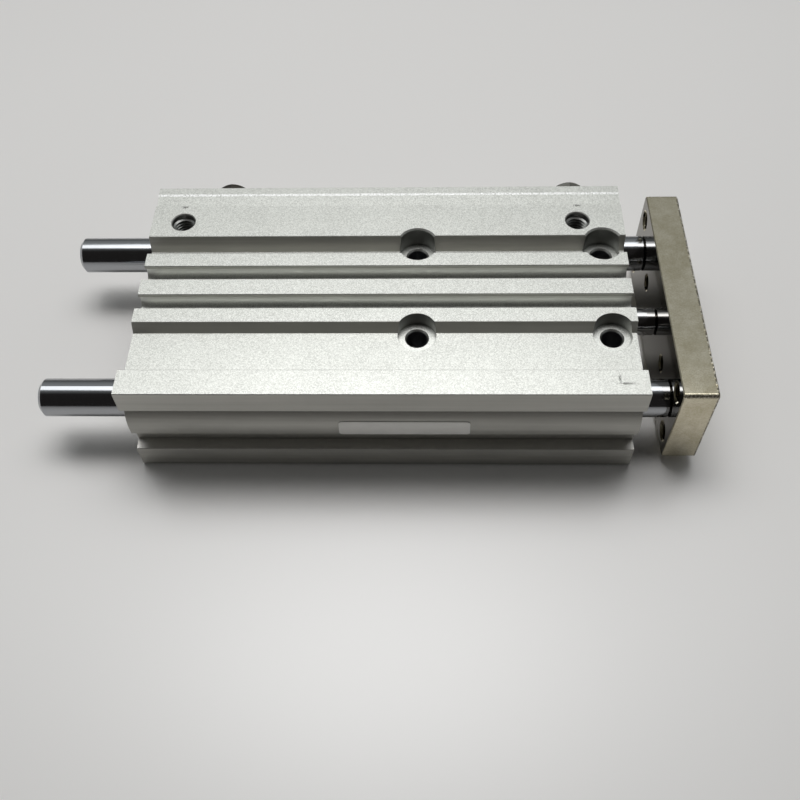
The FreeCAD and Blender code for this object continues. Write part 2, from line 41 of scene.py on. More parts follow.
# Camera: fitted to the photograph, which looks down on the near long side from 55 degrees up.
# The angles are in degrees, and the place is in the frame's metres.
camera_place = Vector((0.06133, -0.13366, 0.17280))
azimuth, elevation, roll = math.radians(2.98), math.radians(54.80), math.radians(-2.38)
back = Vector((math.sin(azimuth) * math.cos(elevation),
               -math.cos(azimuth) * math.cos(elevation), math.sin(elevation)))
level = (-back).cross(Vector((0, 0, 1))).normalized()
upward = level.cross(-back)
right = math.cos(roll) * level + math.sin(roll) * upward
top = math.cos(roll) * upward - math.sin(roll) * level
camera = bpy.data.objects.new("camera", bpy.data.cameras.new("camera"))
bpy.context.collection.objects.link(camera)
turn = Matrix((right, top, back)).transposed().to_4x4()
turn.translation = camera_place
camera.matrix_world = turn
camera.data.sensor_fit = "HORIZONTAL"
camera.data.sensor_width = 36
camera.data.lens = 42.336
camera.data.clip_start = 0.01
bpy.context.scene.camera = camera
bpy.context.scene.view_settings.view_transform = "Standard"


# Floor: a pale satin table top, matt enough to keep the soft shadow of the part.
# The colours here and below are sRGB, as they are read off.
def linear(colour):
    """An sRGB hex colour as linear red, green, blue and alpha."""
    parts = [int(colour[start:start + 2], 16) / 255 for start in (1, 3, 5)]
    return [part / 12.92 if part <= 0.04045 else ((part + 0.055) / 1.055) ** 2.4
            for part in parts] + [1.0]


def add_node(tree, kind, settings, links=None):
    """A shader node with its properties and sockets set, and its inputs linked."""
    node = tree.nodes.new(kind)
    for key, value in settings.items():
        if isinstance(key, str) and hasattr(node, key):
            setattr(node, key, value)
        else:
            node.inputs[key].default_value = value
    for key, source in (links or {}).items():
        tree.links.new(source, node.inputs[key])
    return node


def new_material(name, colour, metallic, roughness):
    """A material of that name, with its node tree and its main shader."""
    material = bpy.data.materials.new(name)
    material.use_nodes = True
    shader = material.node_tree.nodes["Principled BSDF"]
    shader.inputs["Base Color"].default_value = linear(colour)
    shader.inputs["Metallic"].default_value = metallic
    shader.inputs["Roughness"].default_value = roughness
    return material, material.node_tree, shader


table, tree, shader = new_material("satin_table_top", "#edebe9", 0.0, 0.28)
place = add_node(tree, "ShaderNodeTexCoord", {})
clouds = add_node(tree, "ShaderNodeTexNoise", {"Scale": 6.0, "Detail": 2.0},
                  {"Vector": place.outputs["Object"]})
tone = add_node(tree, "ShaderNodeMix", {"data_type": "RGBA", 6: linear("#ebe9e7"),
                                        7: linear("#f0eeec")}, {0: clouds.outputs[0]})
tree.links.new(tone.outputs[2], shader.inputs["Base Color"])
bpy.ops.object.select_all(action="DESELECT")
bpy.ops.mesh.primitive_plane_add(size=4, location=(0, 0, -0.00005))
floor = bpy.context.object
floor.name = "table_top"
floor.data.materials.append(table)

# Light: one oval soft box above and behind, brightest in the middle of its upper half, and a
# dim room that is darkest towards the camera, as the bands along the chromed rods show.
box_light = bpy.data.lights.new("soft_box", "AREA")
box_light.shape = "ELLIPSE"
box_light.size = 0.78
box_light.size_y = 0.35
box_light.energy = 2.9
box_light.use_nodes = True
tree = box_light.node_tree
across_box = add_node(tree, "ShaderNodeNewGeometry", {})
from_middle = add_node(tree, "ShaderNodeVectorMath",
                       {"operation": "SUBTRACT", 1: (0.5, 0.62, 0)},
                       {0: across_box.outputs["Parametric"]})
oval = add_node(tree, "ShaderNodeVectorMath", {"operation": "MULTIPLY", 1: (1.27, 1, 0)},
                {0: from_middle.outputs[0]})
off_middle = add_node(tree, "ShaderNodeVectorMath", {"operation": "LENGTH"},
                      {0: oval.outputs[0]})
hot_middle = add_node(tree, "ShaderNodeMapRange",
                      {"interpolation_type": "SMOOTHSTEP", "From Min": 0.42, "From Max": 0.14,
                       "To Min": 0.45, "To Max": 1.9}, {"Value": off_middle.outputs["Value"]})
tree.links.new(hot_middle.outputs[0], tree.nodes["Emission"].inputs["Strength"])
lamp = bpy.data.objects.new("soft_box", box_light)
bpy.context.collection.objects.link(lamp)
lamp.location = (0.025, 0.195, 0.595)
aim = Vector((0.025, 0, axis_height)) - lamp.location
lamp.rotation_euler = aim.to_track_quat("-Z", "Y").to_euler()
room = bpy.data.worlds.new("room")
bpy.context.scene.world = room
room.use_nodes = True
tree = room.node_tree
direction = add_node(tree, "ShaderNodeTexCoord", {})
parts = add_node(tree, "ShaderNodeSeparateXYZ", {}, {0: direction.outputs["Generated"]})
behind = add_node(tree, "ShaderNodeMapRange",
                  {"interpolation_type": "SMOOTHSTEP", "From Min": -0.3, "From Max": 0.5},
                  {"Value": parts.outputs["Y"]})
high = add_node(tree, "ShaderNodeMapRange",
                {"From Min": 0.05, "From Max": 0.8, "To Min": 0.22, "To Max": 1.15},
                {"Value": parts.outputs["Z"]})
far_side = add_node(tree, "ShaderNodeMath", {"operation": "ABSOLUTE"},
                    {0: parts.outputs["X"]})
sideways = add_node(tree, "ShaderNodeMapRange",
                    {"interpolation_type": "SMOOTHSTEP", "From Min": 0.4, "From Max": 1.0},
                    {"Value": far_side.outputs[0]})
around = add_node(tree, "ShaderNodeMath", {"operation": "MAXIMUM"},
                  {0: behind.outputs[0], 1: sideways.outputs[0]})
bright = add_node(tree, "ShaderNodeMath", {"operation": "MULTIPLY"},
                  {0: around.outputs[0], 1: high.outputs[0]})
sky = add_node(tree, "ShaderNodeMix", {"data_type": "RGBA", 6: linear("#2a2827"),
                                       7: linear("#aaadad")}, {0: bright.outputs[0]})
tree.links.new(sky.outputs[2], tree.nodes["Background"].inputs["Color"])


# Body: one length of aluminium extrusion, drilled and milled, then bead blasted and clear
# anodised. The faces that look up carry a painted glint speckle, where the blasted grain would
# catch the light, and the die has left long soft lines on the sides. The counterbores keep
# faint rings; their holes are dark inside.
def dress(material, *names):
    """Gives a material to CAD nodes."""
    for name in names:
        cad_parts[name].material_slots[0].material = material


grit_size, speckle_size, patch_size = 0.00022, 0.00014, 0.009
screw_stations, screw_line = (0.059, 0.099), 0.0115
screw_hole_radius, counterbore_radius, ring_pitch = 0.00215, 0.004, 0.0003
port_stations, port_line, port_thread_radius = (0.007, 0.094), 0.018, 0.0025
blasted, tree, shader = new_material("hard_anodised_aluminium", "#d3d5cf", 1.0, 0.42)
place = add_node(tree, "ShaderNodeTexCoord", {})
spot = place.outputs["Object"]
facing = add_node(tree, "ShaderNodeSeparateXYZ", {}, {0: place.outputs["Normal"]})

# Blasted skin: the faces that look up, outside the recess, with a mottle of some millimetres
# and a speckle of painted glints.
# Real bead marks are near 0.05 mm. The speckle and grit are drawn at 0.14 mm and 0.22 mm, so
# that they just show at the photograph's distance. The die's lines run along X.
upward_face = add_node(tree, "ShaderNodeMapRange", {"From Min": 0.4, "From Max": 0.9},
                       {"Value": facing.outputs[2]})
where = add_node(tree, "ShaderNodeSeparateXYZ", {}, {0: spot})
open_top = add_node(tree, "ShaderNodeMapRange", {"From Min": 0.010, "From Max": 0.011},
                    {"Value": where.outputs[2]})
blast = add_node(tree, "ShaderNodeMath", {"operation": "MULTIPLY"},
                 {0: upward_face.outputs[0], 1: open_top.outputs[0]})
grit = add_node(tree, "ShaderNodeTexNoise",
                {"Scale": 1 / grit_size, "Detail": 2.0, "Roughness": 0.65}, {"Vector": spot})
speckles = add_node(tree, "ShaderNodeTexVoronoi", {"Scale": 1 / speckle_size},
                    {"Vector": spot})
speckle = add_node(tree, "ShaderNodeSeparateColor", {}, {"Color": speckles.outputs["Color"]})
run = add_node(tree, "ShaderNodeMapping", {"Scale": (25, 900, 900)}, {"Vector": spot})
streaks = add_node(tree, "ShaderNodeTexNoise", {"Scale": 1.0, "Detail": 2.0},
                   {"Vector": run.outputs[0]})
patches = add_node(tree, "ShaderNodeTexNoise", {"Scale": 1 / patch_size, "Detail": 3.0},
                   {"Vector": spot})
drawn = add_node(tree, "ShaderNodeMath", {"operation": "MULTIPLY_ADD", 1: 0.3},
                 {0: patches.outputs[0], 2: streaks.outputs[0]})
drawn_tone = add_node(tree, "ShaderNodeMix",
                      {"data_type": "RGBA", 6: linear("#a2a19c"), 7: linear("#bfbeb8")},
                      {0: drawn.outputs[0]})
# Random mottle plus the speckle, which is painted glint, put only on the faces that look up.
mottle_and_glints = add_node(tree, "ShaderNodeMath", {"operation": "MULTIPLY_ADD", 1: 0.3},
                   {0: patches.outputs[0], 2: speckle.outputs[0]})
mottle_and_glint_tone = add_node(tree, "ShaderNodeMix",
                        {"data_type": "RGBA", 6: linear("#a9aaa5"), 7: linear("#d9dad5")},
                        {0: mottle_and_glints.outputs[0]})

# Sensor slots: painted light; their walls are painted as pale as the top, where the lamp's
# light reaches in past the lips.
from_middle = add_node(tree, "ShaderNodeMath", {"operation": "ABSOLUTE"},
                       {0: where.outputs[1]})
by_slots = add_node(tree, "ShaderNodeMath", {"operation": "LESS_THAN", 1: 0.0098},
                    {0: from_middle.outputs[0]})
end_lean = add_node(tree, "ShaderNodeMath", {"operation": "ABSOLUTE"},
                    {0: facing.outputs[0]})
along_body = add_node(tree, "ShaderNodeMath", {"operation": "LESS_THAN", 1: 0.5},
                      {0: end_lean.outputs[0]})
slot_band = add_node(tree, "ShaderNodeMath", {"operation": "MULTIPLY"},
                     {0: by_slots.outputs[0], 1: along_body.outputs[0]})
under_lip = add_node(tree, "ShaderNodeMapRange", {"From Min": 0.0238, "From Max": 0.0234},
                     {"Value": where.outputs[2]})
cavity = add_node(tree, "ShaderNodeMath", {"operation": "MULTIPLY"},
                  {0: under_lip.outputs[0], 1: open_top.outputs[0]})
in_slots = add_node(tree, "ShaderNodeMath", {"operation": "MULTIPLY"},
                    {0: slot_band.outputs[0], 1: cavity.outputs[0]})
# Painted light inside the sensor slots.
painted_slot_light = add_node(tree, "ShaderNodeMix", {"data_type": "RGBA", 7: linear("#eeefea")},
                     {0: in_slots.outputs[0], 6: drawn_tone.outputs[2]})

# Side recess: painted shade darkens its floor towards the top, where no light gets in under
# the edge. The ledge below it and the edge of the strip along the far side get painted light,
# as they catch more of the light than the rest.
# Painted shade at the top of the recess floor.
recess_floor = add_node(tree, "ShaderNodeMath",
                        {"operation": "COMPARE", 1: -0.0265, 2: 0.0018},
                        {0: where.outputs[1]})
recess_top = add_node(tree, "ShaderNodeMapRange",
                      {"From Min": 0.0145, "From Max": 0.0175, "To Max": 0.75},
                      {"Value": where.outputs[2]})
recess = add_node(tree, "ShaderNodeMath", {"operation": "MULTIPLY"},
                  {0: recess_floor.outputs[0], 1: recess_top.outputs[0]})
recess_shade_tone = add_node(tree, "ShaderNodeMix", {"data_type": "RGBA", 7: linear("#82807b")},
                       {0: recess.outputs[0], 6: painted_slot_light.outputs[2]})
# Painted light on the ledge, which lies under the wall above.
ledge = add_node(tree, "ShaderNodeMath", {"operation": "SUBTRACT"},
                 {0: upward_face.outputs[0], 1: blast.outputs[0]})
wall_tone = add_node(tree, "ShaderNodeMix", {"data_type": "RGBA", 7: linear("#e6e4df")},
                     {0: ledge.outputs[0], 6: recess_shade_tone.outputs[2]})
# Painted glint along the edge of the far strip.
strip_edge = add_node(tree, "ShaderNodeMath",
                      {"operation": "COMPARE", 1: 0.0266, 2: 0.0003},
                      {0: where.outputs[1]})
glint = add_node(tree, "ShaderNodeMath", {"operation": "MULTIPLY"},
                 {0: strip_edge.outputs[0], 1: speckle.outputs[0]})
top_tone = add_node(tree, "ShaderNodeMix", {"data_type": "RGBA", 7: linear("#ffffff")},
                    {0: glint.outputs[0], 6: mottle_and_glint_tone.outputs[2]})
skin_tone = add_node(tree, "ShaderNodeMix", {"data_type": "RGBA"},
                     {0: blast.outputs[0], 6: wall_tone.outputs[2], 7: top_tone.outputs[2]})

# Counterbores: measured from the axis of the nearest of the four screw holes.
from_centre = add_node(tree, "ShaderNodeVectorMath",
                       {"operation": "SUBTRACT", 1: (sum(screw_stations) / 2, 0, 0)},
                       {0: spot})
mirrored = add_node(tree, "ShaderNodeVectorMath", {"operation": "ABSOLUTE"},
                    {0: from_centre.outputs[0]})
half_pitch = (screw_stations[1] - screw_stations[0]) / 2
from_hole = add_node(tree, "ShaderNodeVectorMath",
                     {"operation": "SUBTRACT", 1: (half_pitch, screw_line, 0)},
                     {0: mirrored.outputs[0]})
flat = add_node(tree, "ShaderNodeVectorMath", {"operation": "MULTIPLY", 1: (1, 1, 0)},
                {0: from_hole.outputs[0]})
radius = add_node(tree, "ShaderNodeVectorMath", {"operation": "LENGTH"},
                  {0: flat.outputs[0]})
milled = add_node(tree, "ShaderNodeMapRange",
                  {"From Min": counterbore_radius + 0.00001,
                   "From Max": counterbore_radius + 0.00004, "To Min": 1.0, "To Max": 0.0},
                  {"Value": radius.outputs["Value"]})
# Painted shade in a ring where the seat meets the wall of the counterbore.
corner_shade = add_node(tree, "ShaderNodeMapRange",
                  {"From Min": counterbore_radius - 0.0005, "From Max": counterbore_radius,
                   "To Max": 0.6}, {"Value": radius.outputs["Value"]})
# The seat's speckle is painted glint, as on the top.
seat_glint_tone = add_node(tree, "ShaderNodeMix",
                      {"data_type": "RGBA", 6: linear("#bbbcb7"), 7: linear("#dfe0db")},
                      {0: speckle.outputs[0]})
seat_tone = add_node(tree, "ShaderNodeMix", {"data_type": "RGBA", 7: linear("#6e6f6c")},
                     {0: corner_shade.outputs[0], 6: seat_glint_tone.outputs[2]})
milled_tone = add_node(tree, "ShaderNodeMix", {"data_type": "RGBA", 6: linear("#a3a4a0")},
                       {0: upward_face.outputs[0], 7: seat_tone.outputs[2]})
bored = add_node(tree, "ShaderNodeMapRange",
                 {"From Min": screw_hole_radius + 0.00001,
                  "From Max": screw_hole_radius + 0.00011, "To Min": 1.0, "To Max": 0.0},
                 {"Value": radius.outputs["Value"]})
hole_tone = add_node(tree, "ShaderNodeMix", {"data_type": "RGBA", 7: linear("#98989b")},
                     {0: bored.outputs[0], 6: milled_tone.outputs[2]})
body_tone = add_node(tree, "ShaderNodeMix", {"data_type": "RGBA"},
                     {0: milled.outputs[0], 6: skin_tone.outputs[2], 7: hole_tone.outputs[2]})

# Ports: painted shade inside their threads, measured from the axis of the nearer one.
between_ports = add_node(tree, "ShaderNodeVectorMath",
                         {"operation": "SUBTRACT", 1: (sum(port_stations) / 2, port_line, 0)},
                         {0: spot})
either_port = add_node(tree, "ShaderNodeVectorMath", {"operation": "ABSOLUTE"},
                       {0: between_ports.outputs[0]})
half_pitch = (port_stations[1] - port_stations[0]) / 2
from_port = add_node(tree, "ShaderNodeVectorMath",
                     {"operation": "SUBTRACT", 1: (half_pitch, 0, 0)},
                     {0: either_port.outputs[0]})
port_flat = add_node(tree, "ShaderNodeVectorMath", {"operation": "MULTIPLY", 1: (1, 1, 0)},
                     {0: from_port.outputs[0]})
port_radius = add_node(tree, "ShaderNodeVectorMath", {"operation": "LENGTH"},
                       {0: port_flat.outputs[0]})
port_bore = add_node(tree, "ShaderNodeMapRange",
                  {"From Min": port_thread_radius + 0.00005,
                   "From Max": port_thread_radius + 0.00012, "To Min": 1.0, "To Max": 0.0},
                  {"Value": port_radius.outputs["Value"]})
# Painted shade inside the port bores.
port_shade_tone = add_node(tree, "ShaderNodeMix", {"data_type": "RGBA", 7: linear("#858583")},
                       {0: port_bore.outputs[0], 6: body_tone.outputs[2]})

# Wear on the top: two scuffs that meet in an L near the plate, and a nick beyond each port.
# The speckle frays their edges.
scuff_reaches = []
for scuff_middle, scuff_size in (((0.0983, -0.0251), (0.00032, 0.0012)),
                                 ((0.0997, -0.0263), (0.0018, 0.0003)),
                                 ((0.0068, 0.0228), (0.0010, 0.0005)),
                                 ((0.0943, 0.0228), (0.0008, 0.0005))):
    off_scuff = add_node(tree, "ShaderNodeVectorMath",
                         {"operation": "SUBTRACT", 1: (*scuff_middle, body_high.z)},
                         {0: spot})
    in_scuff = add_node(tree, "ShaderNodeVectorMath",
                        {"operation": "DIVIDE", 1: (*scuff_size, 0.001)},
                        {0: off_scuff.outputs[0]})
    scuff_reach = add_node(tree, "ShaderNodeVectorMath", {"operation": "LENGTH"},
                           {0: in_scuff.outputs[0]})
    scuff_reaches.append(scuff_reach.outputs["Value"])
nearest_scuff = scuff_reaches[0]
for other_scuff in scuff_reaches[1:]:
    nearest_scuff = add_node(tree, "ShaderNodeMath", {"operation": "MINIMUM"},
                             {0: nearest_scuff, 1: other_scuff}).outputs[0]
ragged = add_node(tree, "ShaderNodeMath", {"operation": "ADD"},
                  {0: nearest_scuff, 1: speckle.outputs[0]})
scuff = add_node(tree, "ShaderNodeMapRange",
                 {"From Min": 0.9, "From Max": 1.6, "To Min": 0.7, "To Max": 0.0},
                 {"Value": ragged.outputs[0]})
scuff_tone = add_node(tree, "ShaderNodeMix", {"data_type": "RGBA", 7: linear("#4f4f4c")},
                      {0: scuff.outputs[0], 6: port_shade_tone.outputs[2]})
tree.links.new(scuff_tone.outputs[2], shader.inputs["Base Color"])

# Relief: grit on the blasted and drawn skin, rings in the counterbores. The floor of the
# shallow groove along the far strip slopes, but looks as bright as a level face in the
# photograph, so it is shaded as level.
rings = add_node(tree, "ShaderNodeMath",
                 {"operation": "MULTIPLY", 1: 2 * math.pi / ring_pitch},
                 {0: radius.outputs["Value"]})
ring_wave = add_node(tree, "ShaderNodeMath", {"operation": "SINE"}, {0: rings.outputs[0]})
relief = add_node(tree, "ShaderNodeMix", {2: 0.5}, {0: milled.outputs[0], 2: grit.outputs[0],
                                                    3: ring_wave.outputs[0]})
depth = add_node(tree, "ShaderNodeMapRange", {"To Min": 0.8, "To Max": 0.1},
                 {"Value": milled.outputs[0]})
bump = add_node(tree, "ShaderNodeBump", {"Distance": 0.000012},
                {"Height": relief.outputs[0], "Strength": depth.outputs[0]})
sideways_lean = add_node(tree, "ShaderNodeMapRange",
                         {"From Min": -0.1, "From Max": -0.2, "To Max": 0.9},
                         {"Value": facing.outputs[1]})
shallow = add_node(tree, "ShaderNodeMapRange", {"From Min": 0.9, "From Max": 0.95},
                   {"Value": facing.outputs[2]})
levelled = add_node(tree, "ShaderNodeMath", {"operation": "MULTIPLY"},
                    {0: sideways_lean.outputs[0], 1: shallow.outputs[0]})
skin_normal = add_node(tree, "ShaderNodeMix", {"data_type": "VECTOR", 5: (0, 0, 1)},
                       {0: levelled.outputs[0], 4: bump.outputs[0]})
tree.links.new(skin_normal.outputs[1], shader.inputs["Normal"])
gloss = add_node(tree, "ShaderNodeMapRange", {"To Min": 0.5, "To Max": 0.38},
                 {"Value": milled.outputs[0]})
tree.links.new(gloss.outputs[0], shader.inputs["Roughness"])
dress(blasted, "body_extrusion")


# Threads: cut in the ports, the plate, the rear end face and the underside, left bright by the
# tap. Each is one V-shaped helix that stands in its hole, whose wall is the thread's root.
def new_thread(diameter, pitch, length):
    """A helix along Z from the origin, for an internal metric thread."""
    height = 0.54 * pitch
    bury = 0.00002
    steps_per_turn = 28
    bpy.ops.object.select_all(action="DESELECT")
    bpy.ops.mesh.primitive_circle_add(
        vertices=3, radius=height / 1.5, location=(diameter / 2 + bury - height / 3, 0, 0),
        rotation=(math.pi / 2, -math.pi / 2, 0))
    helix = bpy.context.object
    bpy.ops.object.transform_apply(location=True, rotation=True, scale=True)
    screw = helix.modifiers.new("screw", "SCREW")
    screw.axis = "Z"
    screw.screw_offset = pitch
    screw.iterations = int(length / pitch - 0.5)
    screw.steps = screw.render_steps = steps_per_turn
    bpy.ops.object.modifier_apply(modifier=screw.name)
    bpy.ops.object.mode_set(mode="EDIT")
    bpy.ops.mesh.select_all(action="DESELECT")
    bpy.ops.mesh.select_non_manifold()
    bpy.ops.mesh.fill_holes(sides=0)
    bpy.ops.mesh.select_all(action="SELECT")
    bpy.ops.mesh.normals_make_consistent(inside=False)
    bpy.ops.object.mode_set(mode="OBJECT")
    bpy.ops.object.shade_smooth_by_angle(angle=math.radians(30))
    return helix


def put_copies(master, name, places, rotation, material, body):
    """Copies of a piece at places, each with its own mesh; the master goes."""
    for number, location in enumerate(places, 1):
        bpy.ops.object.select_all(action="DESELECT")
        piece = master.copy()
        piece.data = master.data.copy()
        piece.name = f"{name}_{number}"
        bpy.context.collection.objects.link(piece)
        piece.location = location
        piece.rotation_euler = rotation
        piece.select_set(True)
        bpy.context.view_layer.objects.active = piece
        bpy.ops.object.transform_apply(location=True, rotation=True, scale=True)
        piece.data.materials.append(material)
        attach(piece, body)
    bpy.data.objects.remove(master)


machined, tree, shader = new_material("machined_aluminium", "#a5a6a3", 1.0, 0.3)
place = add_node(tree, "ShaderNodeTexCoord", {})
chatter = add_node(tree, "ShaderNodeTexNoise", {"Scale": 1 / 0.0002, "Detail": 1.0},
                   {"Vector": place.outputs["Object"]})
cut_gloss = add_node(tree, "ShaderNodeMapRange", {"To Min": 0.22, "To Max": 0.42},
                     {"Value": chatter.outputs[0]})
tree.links.new(cut_gloss.outputs[0], shader.inputs["Roughness"])
cut = add_node(tree, "ShaderNodeBump", {"Distance": 0.000004, "Strength": 0.5},
               {"Height": chatter.outputs[0]})
tree.links.new(cut.outputs[0], shader.inputs["Normal"])
m5_size, m4_size = (0.005, 0.0008), (0.004, 0.0007)
port_depth, screw_depth, lead_in = 0.0066, 0.0096, 0.0006
rear_line, rear_rows = 0.0255, (0.0035, 0.0225)
put_copies(new_thread(*m5_size, port_depth), "port_thread",
           [(x, port_line, body_high.z - port_depth) for x in port_stations],
           (0, 0, 0), machined, "cylinder_body")
put_copies(new_thread(*m5_size, screw_depth), "bottom_thread",
           [(x, y, lead_in) for x in screw_stations for y in (-screw_line, screw_line)],
           (0, 0, 0), machined, "cylinder_body")
put_copies(new_thread(*m4_size, screw_depth), "rear_thread",
           [(lead_in, y, z) for y in (-rear_line, rear_line) for z in rear_rows],
           (0, math.pi / 2, 0), machined, "cylinder_body")

# Label: a bare foil plate stuck to the rounded wall inside the side recess.
# It follows the curve of the wall, so it starts flat in front of it and is pressed on.
label_length, label_height, label_corner = 0.0267, 0.0042, 0.0007
label_station, label_middle = 0.0565, 0.01325
foil_thickness, glue_thickness = 0.0001, 0.00003
bpy.ops.object.select_all(action="DESELECT")
bpy.ops.mesh.primitive_plane_add(size=1,
                                 location=(label_station, body_low.y - 0.002, label_middle),
                                 rotation=(math.pi / 2, 0, 0))
label = bpy.context.object
label.name = "label_plate"
label.scale = (label_length, label_height, 1)
bpy.ops.object.transform_apply(location=True, rotation=True, scale=True)
bpy.ops.object.mode_set(mode="EDIT")
bpy.ops.mesh.select_all(action="SELECT")
bpy.ops.mesh.bevel(offset=label_corner, segments=5, affect="VERTICES")
strips = 16
for cut_number in range(1, strips):
    cut_height = label_middle + label_height * (cut_number / strips - 0.5)
    bpy.ops.mesh.select_all(action="SELECT")
    bpy.ops.mesh.bisect(plane_co=(0, 0, cut_height), plane_no=(0, 0, 1))
bpy.ops.object.mode_set(mode="OBJECT")
press = label.modifiers.new("press", "SHRINKWRAP")
press.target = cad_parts["body_extrusion"]
press.wrap_method = "PROJECT"
press.use_project_y = True
press.use_positive_direction = True
press.use_negative_direction = False
press.offset = glue_thickness
bpy.ops.object.modifier_apply(modifier=press.name)
foil_sheet = label.modifiers.new("foil_sheet", "SOLIDIFY")
foil_sheet.thickness = foil_thickness
foil_sheet.offset = 1
bpy.ops.object.modifier_apply(modifier=foil_sheet.name)
bpy.ops.object.shade_smooth_by_angle(angle=math.radians(30))
foil, tree, shader = new_material("satin_foil", "#c9c8c5", 0.25, 0.45)
place = add_node(tree, "ShaderNodeTexCoord", {})
rubbed = add_node(tree, "ShaderNodeTexNoise", {"Scale": 1 / 0.003, "Detail": 4.0},
                  {"Vector": place.outputs["Object"]})
rub_tone = add_node(tree, "ShaderNodeMix", {"data_type": "RGBA", 6: linear("#eae9e4"),
                                            7: linear("#f9f8f4")}, {0: rubbed.outputs[0]})
tree.links.new(rub_tone.outputs[2], shader.inputs["Base Color"])
rub_gloss = add_node(tree, "ShaderNodeMapRange", {"To Min": 0.34, "To Max": 0.5},
                     {"Value": rubbed.outputs[0]})
tree.links.new(rub_gloss.outputs[0], shader.inputs["Roughness"])
label.data.materials.append(foil)
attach(label, "cylinder_body")

# Plate: free-cutting steel, milled and nickel plated, with a warm tint. Its edges are knocked
# about, more so on the front side, where chips in the plating give bright flecks and dark
# pits; the bright flecks are partly painted glints. The inner face is ground.
chamfer, chip_size, dent_size, smear_size = 0.0002, 0.0004, 0.0011, 0.007
hole_line, hole_rows = 0.024, (0.006, 0.020)
nickel, tree, shader = new_material("nickel_plated_steel", "#c8c0aa", 1.0, 0.16)
place = add_node(tree, "ShaderNodeTexCoord", {})
spot = place.outputs["Object"]

# The distance to the nearest edge, from a box that is set back a little from the front face,
# so that the front edges wear more. The chamfer and the edge next to it are worn, and their
# bright flecks are partly painted glints.
set_back = Vector((0.00014, 0, 0))
half = (plate_high - plate_low) / 2
middle = (plate_high + plate_low) / 2 - set_back
centred = add_node(tree, "ShaderNodeVectorMath", {"operation": "SUBTRACT", 1: middle},
                   {0: spot})
folded = add_node(tree, "ShaderNodeVectorMath", {"operation": "ABSOLUTE"},
                  {0: centred.outputs[0]})
inward = add_node(tree, "ShaderNodeVectorMath", {"operation": "SUBTRACT", 0: half},
                  {1: folded.outputs[0]})
gaps = add_node(tree, "ShaderNodeSeparateXYZ", {}, {0: inward.outputs[0]})
pair_sum = add_node(tree, "ShaderNodeMath", {"operation": "ADD"},
                    {0: gaps.outputs[0], 1: gaps.outputs[1]})
whole_sum = add_node(tree, "ShaderNodeMath", {"operation": "ADD"},
                     {0: pair_sum.outputs[0], 1: gaps.outputs[2]})
pair_max = add_node(tree, "ShaderNodeMath", {"operation": "MAXIMUM"},
                    {0: gaps.outputs[0], 1: gaps.outputs[1]})
whole_max = add_node(tree, "ShaderNodeMath", {"operation": "MAXIMUM"},
                     {0: pair_max.outputs[0], 1: gaps.outputs[2]})
edge_distance = add_node(tree, "ShaderNodeMath", {"operation": "SUBTRACT"},
                         {0: whole_sum.outputs[0], 1: whole_max.outputs[0]})
sharp_edge = add_node(tree, "ShaderNodeMapRange",
                      {"From Min": chamfer, "From Max": chamfer + 0.00014,
                       "To Min": 1.0, "To Max": 0.0}, {"Value": edge_distance.outputs[0]})
facing = add_node(tree, "ShaderNodeSeparateXYZ", {}, {0: place.outputs["Normal"]})
slant = add_node(tree, "ShaderNodeMath", {"operation": "MULTIPLY"},
                 {0: facing.outputs[1], 1: facing.outputs[2]})
even_slant = add_node(tree, "ShaderNodeMath", {"operation": "ABSOLUTE"},
                      {0: slant.outputs[0]})
rounded = add_node(tree, "ShaderNodeMapRange",
                   {"From Min": 0.02, "From Max": 0.15, "To Max": 0.35},
                   {"Value": even_slant.outputs[0]})
at_corner = add_node(tree, "ShaderNodeMath", {"operation": "LESS_THAN", 1: 0.0009},
                     {0: edge_distance.outputs[0]})
corner_round = add_node(tree, "ShaderNodeMath", {"operation": "MULTIPLY"},
                        {0: rounded.outputs[0], 1: at_corner.outputs[0]})
near_edge = add_node(tree, "ShaderNodeMath", {"operation": "MAXIMUM"},
                     {0: sharp_edge.outputs[0], 1: corner_round.outputs[0]})
chips = add_node(tree, "ShaderNodeTexNoise",
                 {"Scale": 1 / chip_size, "Detail": 3.0, "Roughness": 0.7}, {"Vector": spot})
fleck_spots = add_node(tree, "ShaderNodeMapRange", {"From Min": 0.55, "From Max": 0.58},
                   {"Value": chips.outputs[0]})
pits = add_node(tree, "ShaderNodeMapRange", {"From Min": 0.55, "From Max": 0.51},
                {"Value": chips.outputs[0]})
chip_and_glint = add_node(tree, "ShaderNodeMath", {"operation": "MULTIPLY"},
                       {0: near_edge.outputs[0], 1: fleck_spots.outputs[0]})
dark_pit = add_node(tree, "ShaderNodeMath", {"operation": "MULTIPLY"},
                    {0: near_edge.outputs[0], 1: pits.outputs[0]})

# Smears left by the plating bath, with a cloud over them that is drawn at 0.3 mm to show.
smears = add_node(tree, "ShaderNodeTexNoise",
                  {"Scale": 1 / smear_size, "Detail": 8.0, "Roughness": 0.8}, {"Vector": spot})
plating = add_node(tree, "ShaderNodeTexNoise", {"Scale": 1 / 0.0003, "Detail": 1.0},
                   {"Vector": spot})
clouded = add_node(tree, "ShaderNodeMath", {"operation": "MULTIPLY_ADD", 1: 0.3},
                   {0: plating.outputs[0], 2: smears.outputs[0]})
smeared = add_node(tree, "ShaderNodeMapRange", {"From Min": 0.48, "From Max": 0.82},
                   {"Value": clouded.outputs[0]})
smear_tone = add_node(tree, "ShaderNodeMix", {"data_type": "RGBA", 6: linear("#b7ae93"),
                                              7: linear("#dbd4c0")}, {0: smeared.outputs[0]})
